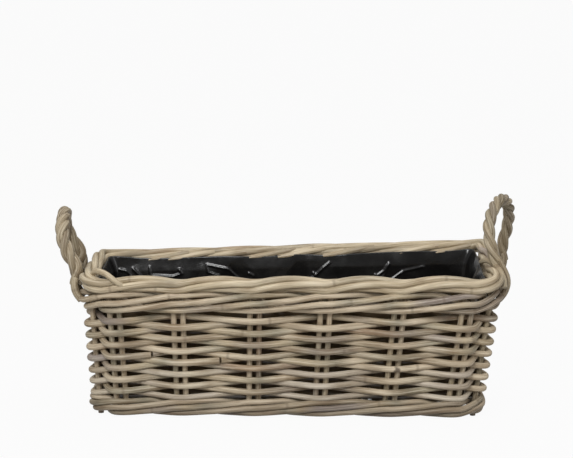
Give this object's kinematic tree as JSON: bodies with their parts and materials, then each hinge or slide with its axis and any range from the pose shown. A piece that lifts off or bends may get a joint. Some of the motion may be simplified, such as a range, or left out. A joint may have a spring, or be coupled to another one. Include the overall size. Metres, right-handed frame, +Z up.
{
  "type": "planter basket",
  "caption": "Long tapered woven cane planter basket with a rolled border, a twisted cane handle at each end and a thin dark film liner inside.",
  "frame": {"origin": "on the floor, below the middle of the basket's length and width", "axes": "+X along the basket's length, +Y from the front wall to the back wall, +Z up"},
  "size_m": [0.5634, 0.2036, 0.2607],
  "materials": {
    "weaver_cane": "weathered, matt",
    "wale_cane": "weathered, matt",
    "border_cane": "weathered, matt",
    "handle_cane": "weathered, matt",
    "stake_cane": "weathered, matt",
    "base_cane": "weathered, matt",
    "film": "thin glossy film"
  },
  "bodies": {
    "root": {"weaver_row_01": "weaver_cane", "weaver_row_02": "weaver_cane", "weaver_row_03": "weaver_cane", "weaver_row_04": "weaver_cane", "weaver_row_05": "weaver_cane", "weaver_row_06": "weaver_cane", "weaver_row_07": "weaver_cane", "weaver_row_08": "weaver_cane", "weaver_row_09": "weaver_cane", "weaver_row_10": "weaver_cane", "weaver_row_11": "weaver_cane", "weaver_row_12": "weaver_cane", "weaver_row_13": "weaver_cane", "weaver_row_14": "weaver_cane", "bottom_wale_1": "wale_cane", "bottom_wale_2": "wale_cane", "bottom_wale_3": "wale_cane", "bottom_wale_4": "wale_cane", "top_wale_1": "wale_cane", "top_wale_2": "wale_cane", "top_wale_3": "wale_cane", "top_wale_4": "wale_cane", "border_cane_1": "border_cane", "border_cane_2": "border_cane", "border_cane_3": "border_cane", "border_cane_4": "border_cane", "handle_left_cane_1": "handle_cane", "handle_left_cane_2": "handle_cane", "handle_left_cane_3": "handle_cane", "handle_right_cane_1": "handle_cane", "handle_right_cane_2": "handle_cane", "handle_right_cane_3": "handle_cane", "stake_pair_front_1": "stake_cane", "stake_pair_front_2": "stake_cane", "stake_pair_front_3": "stake_cane", "stake_pair_front_4": "stake_cane", "stake_pair_front_5": "stake_cane", "stake_pair_front_6": "stake_cane", "stake_pair_right_1": "stake_cane", "stake_pair_right_2": "stake_cane", "stake_pair_back_1": "stake_cane", "stake_pair_back_2": "stake_cane", "stake_pair_back_3": "stake_cane", "stake_pair_back_4": "stake_cane", "stake_pair_back_5": "stake_cane", "stake_pair_back_6": "stake_cane", "stake_pair_left_1": "stake_cane", "stake_pair_left_2": "stake_cane", "corner_post_front_left": "stake_cane", "corner_post_front_right": "stake_cane", "corner_post_back_right": "stake_cane", "corner_post_back_left": "stake_cane", "base_stick_1": "base_cane", "base_stick_2": "base_cane", "base_stick_3": "base_cane", "base_stick_4": "base_cane", "base_stick_5": "base_cane", "base_rail": "base_cane", "base_weaver": "base_cane", "film_liner": "film"}
  },
  "joints": []
}
